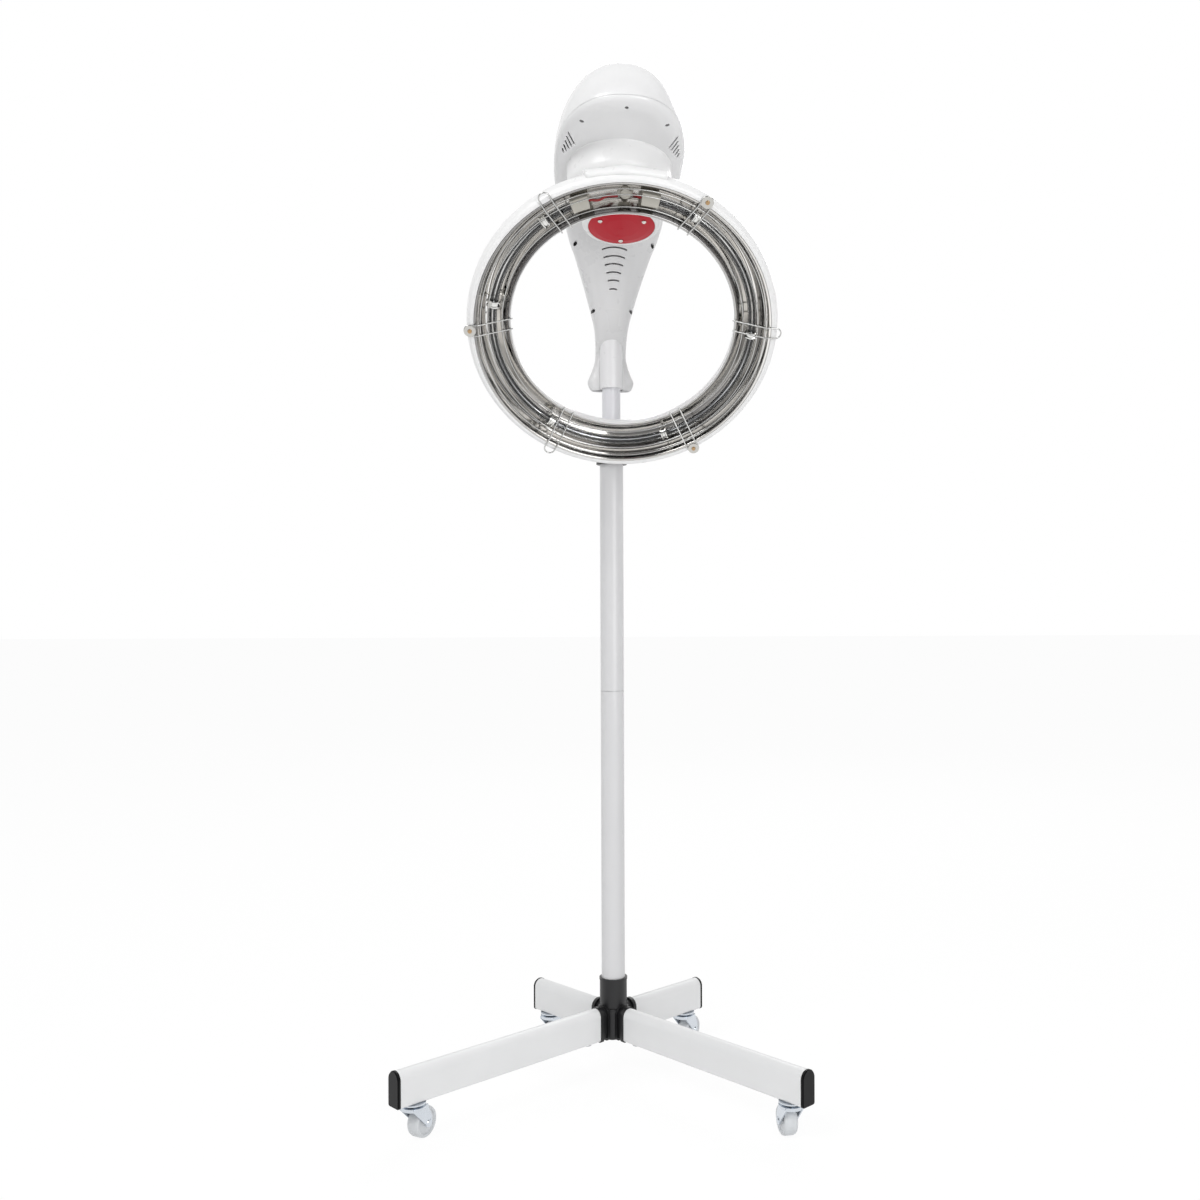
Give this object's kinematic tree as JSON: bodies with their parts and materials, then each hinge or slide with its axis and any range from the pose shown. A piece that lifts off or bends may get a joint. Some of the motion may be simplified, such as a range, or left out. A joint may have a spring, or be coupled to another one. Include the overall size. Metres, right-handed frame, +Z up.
{
  "type": "hood hair dryer",
  "caption": "Salon hair dryer: a heated ring with a wire guard orbits under a domed head on a telescopic pole with a rolling cross base.",
  "frame": {"origin": "on the floor on the pole's axis", "axes": "+Z up along the pole; -Y towards the client, where the long front legs and the ring are; +X to the right as seen from the client"},
  "size_m": [0.5034, 0.4705, 1.2914],
  "materials": {
    "hub_black": "satin moulded",
    "leg_paint": "light grey powder coat",
    "cap_black": "semi-gloss moulded",
    "steel": "bright steel",
    "zinc": "zinc plated, slightly blue",
    "pole_paint": "light grey paint",
    "mast_paint": "light grey paint",
    "bush_plastic": "moulded",
    "neck_white": "gloss white",
    "shell_white": "gloss white",
    "ring_white": "gloss white",
    "dark_screw": "blackened",
    "bright_screw": "bright",
    "panel_black": "gloss black",
    "display_glass": "smoked window",
    "board_green": "circuit board",
    "motor_grey": "dark grey can",
    "bearing_steel": "ground steel",
    "brass": "satin brass",
    "gear_nylon": "natural nylon",
    "red_lens": "deep red gloss",
    "chrome": "bright reflector",
    "quartz": "clear quartz",
    "filament": "dark coil",
    "ceramic": "beige ceramic",
    "clip_glassy": "bright spring steel",
    "red_lead": "silicone sleeve",
    "wire_chrome": "bright wire",
    "key_grey": "satin key",
    "wheel_nylon": "milky nylon"
  },
  "bodies": {
    "base": {"base_hub": "hub_black", "front_legs": "leg_paint", "rear_legs": "leg_paint", "leg_end_caps": "cap_black", "leg_bolts": "steel", "caster_stems": "zinc", "lower_tube": "pole_paint", "tube_joiner": "steel", "upper_tube": "pole_paint", "height_collar": "cap_black", "collar_bush": "bush_plastic"},
    "knob": {"clamp_knob": "cap_black"},
    "mast": {"inner_tube": "mast_paint", "mast_stop": "bush_plastic"},
    "head": {"neck_socket": "neck_white", "neck_front_shell": "shell_white", "neck_rear_shell": "shell_white", "neck_screws": "dark_screw", "head_lower_shell": "shell_white", "head_top_cover": "shell_white", "head_screws": "dark_screw", "control_panel": "panel_black", "display_window": "display_glass", "control_board": "board_green", "power_inlet": "cap_black", "drive_plate": "steel", "orbit_motor": "motor_grey", "orbit_bearing": "bearing_steel", "brush_block": "bush_plastic"},
    "pinion": {"motor_pinion": "brass"},
    "orbiter": {"orbit_shaft": "steel", "orbit_gear": "gear_nylon", "slip_ring": "brass", "hub_shell": "ring_white", "hub_lens": "red_lens", "lens_screws": "bright_screw", "ring_arm": "ring_white", "ring_shell": "ring_white", "ring_reflector": "chrome", "heater_tube": "quartz", "heater_filaments": "filament", "heater_end_blocks": "ceramic", "tube_clips": "clip_glassy", "thermostat": "ceramic", "heater_leads": "red_lead", "guard_wires": "wire_chrome", "guard_screws": "brass"},
    "key_power": {"button_power": "key_grey"},
    "key_start": {"button_start": "key_grey"},
    "key_up": {"button_up": "key_grey"},
    "key_down": {"button_down": "key_grey"},
    "key_mode": {"button_mode": "key_grey"},
    "fork_fl": {"caster_fork_fl": "zinc"},
    "wheel_fl": {"caster_wheel_fl": "wheel_nylon"},
    "fork_fr": {"caster_fork_fr": "zinc"},
    "wheel_fr": {"caster_wheel_fr": "wheel_nylon"},
    "fork_rl": {"caster_fork_rl": "zinc"},
    "wheel_rl": {"caster_wheel_rl": "wheel_nylon"},
    "fork_rr": {"caster_fork_rr": "zinc"},
    "wheel_rr": {"caster_wheel_rr": "wheel_nylon"}
  },
  "joints": [
    {"name": "knob_turn", "type": "hinge", "parent": "base", "child": "knob", "pos_m": [0, 0.04, 0.852], "axis": [0, 1, 0], "range_deg": [-270, 0]},
    {"name": "mast_lift", "type": "slide", "parent": "base", "child": "mast", "axis": [0, 0, 1], "range_m": [-0.04, 0.3]},
    {"name": "head_swivel", "type": "hinge", "parent": "mast", "child": "head", "pos_m": [0, 0, 0.95], "axis": [0, 0, 1], "range_deg": [-97, 83]},
    {"name": "ring_orbit", "type": "hinge", "parent": "head", "child": "orbiter", "pos_m": [0.02898, -0.22313, 0.9666], "axis": [-0.029, 0.2231, 0.9744], "continuous": true},
    {"name": "pinion_spin", "type": "hinge", "parent": "head", "child": "pinion", "pos_m": [0.01813, -0.13957, 1.15754], "axis": [-0.029, 0.2231, 0.9744], "continuous": true},
    {"name": "power_press", "type": "slide", "parent": "head", "child": "key_power", "axis": [0.1041, -0.8013, -0.5892], "range_m": [0, 0.0012], "stiffness_N_per_m": 400},
    {"name": "start_press", "type": "slide", "parent": "head", "child": "key_start", "axis": [0.1041, -0.8013, -0.5892], "range_m": [0, 0.0012], "stiffness_N_per_m": 400},
    {"name": "up_press", "type": "slide", "parent": "head", "child": "key_up", "axis": [0.1041, -0.8013, -0.5892], "range_m": [0, 0.0012], "stiffness_N_per_m": 400},
    {"name": "down_press", "type": "slide", "parent": "head", "child": "key_down", "axis": [0.1041, -0.8013, -0.5892], "range_m": [0, 0.0012], "stiffness_N_per_m": 400},
    {"name": "mode_press", "type": "slide", "parent": "head", "child": "key_mode", "axis": [0.1041, -0.8013, -0.5892], "range_m": [0, 0.0012], "stiffness_N_per_m": 400},
    {"name": "swivel_fl", "type": "hinge", "parent": "base", "child": "fork_fl", "pos_m": [-0.22486, -0.22486, 0.042], "axis": [0, 0, 1], "continuous": true},
    {"name": "roll_fl", "type": "hinge", "parent": "fork_fl", "child": "wheel_fl", "pos_m": [-0.21782, -0.21162, 0.0185], "axis": [-0.8829, 0.4695, 0], "continuous": true},
    {"name": "swivel_fr", "type": "hinge", "parent": "base", "child": "fork_fr", "pos_m": [0.22486, -0.22486, 0.042], "axis": [0, 0, 1], "continuous": true},
    {"name": "roll_fr", "type": "hinge", "parent": "fork_fr", "child": "wheel_fr", "pos_m": [0.22098, -0.21037, 0.0185], "axis": [-0.9659, -0.2588, 0], "continuous": true},
    {"name": "swivel_rl", "type": "hinge", "parent": "base", "child": "fork_rl", "pos_m": [-0.09617, 0.09617, 0.042], "axis": [0, 0, 1], "continuous": true},
    {"name": "roll_rl", "type": "hinge", "parent": "fork_rl", "child": "wheel_rl", "pos_m": [-0.08912, 0.10941, 0.0185], "axis": [-0.8829, 0.4695, 0], "continuous": true},
    {"name": "swivel_rr", "type": "hinge", "parent": "base", "child": "fork_rr", "pos_m": [0.09617, 0.09617, 0.042], "axis": [0, 0, 1], "continuous": true},
    {"name": "roll_rr", "type": "hinge", "parent": "fork_rr", "child": "wheel_rr", "pos_m": [0.10367, 0.10916, 0.0185], "axis": [-0.866, 0.5, 0], "continuous": true}
  ],
  "couplings": [
    {"joint": "pinion_spin", "follows": "ring_orbit", "ratio": -3.3333}
  ]
}
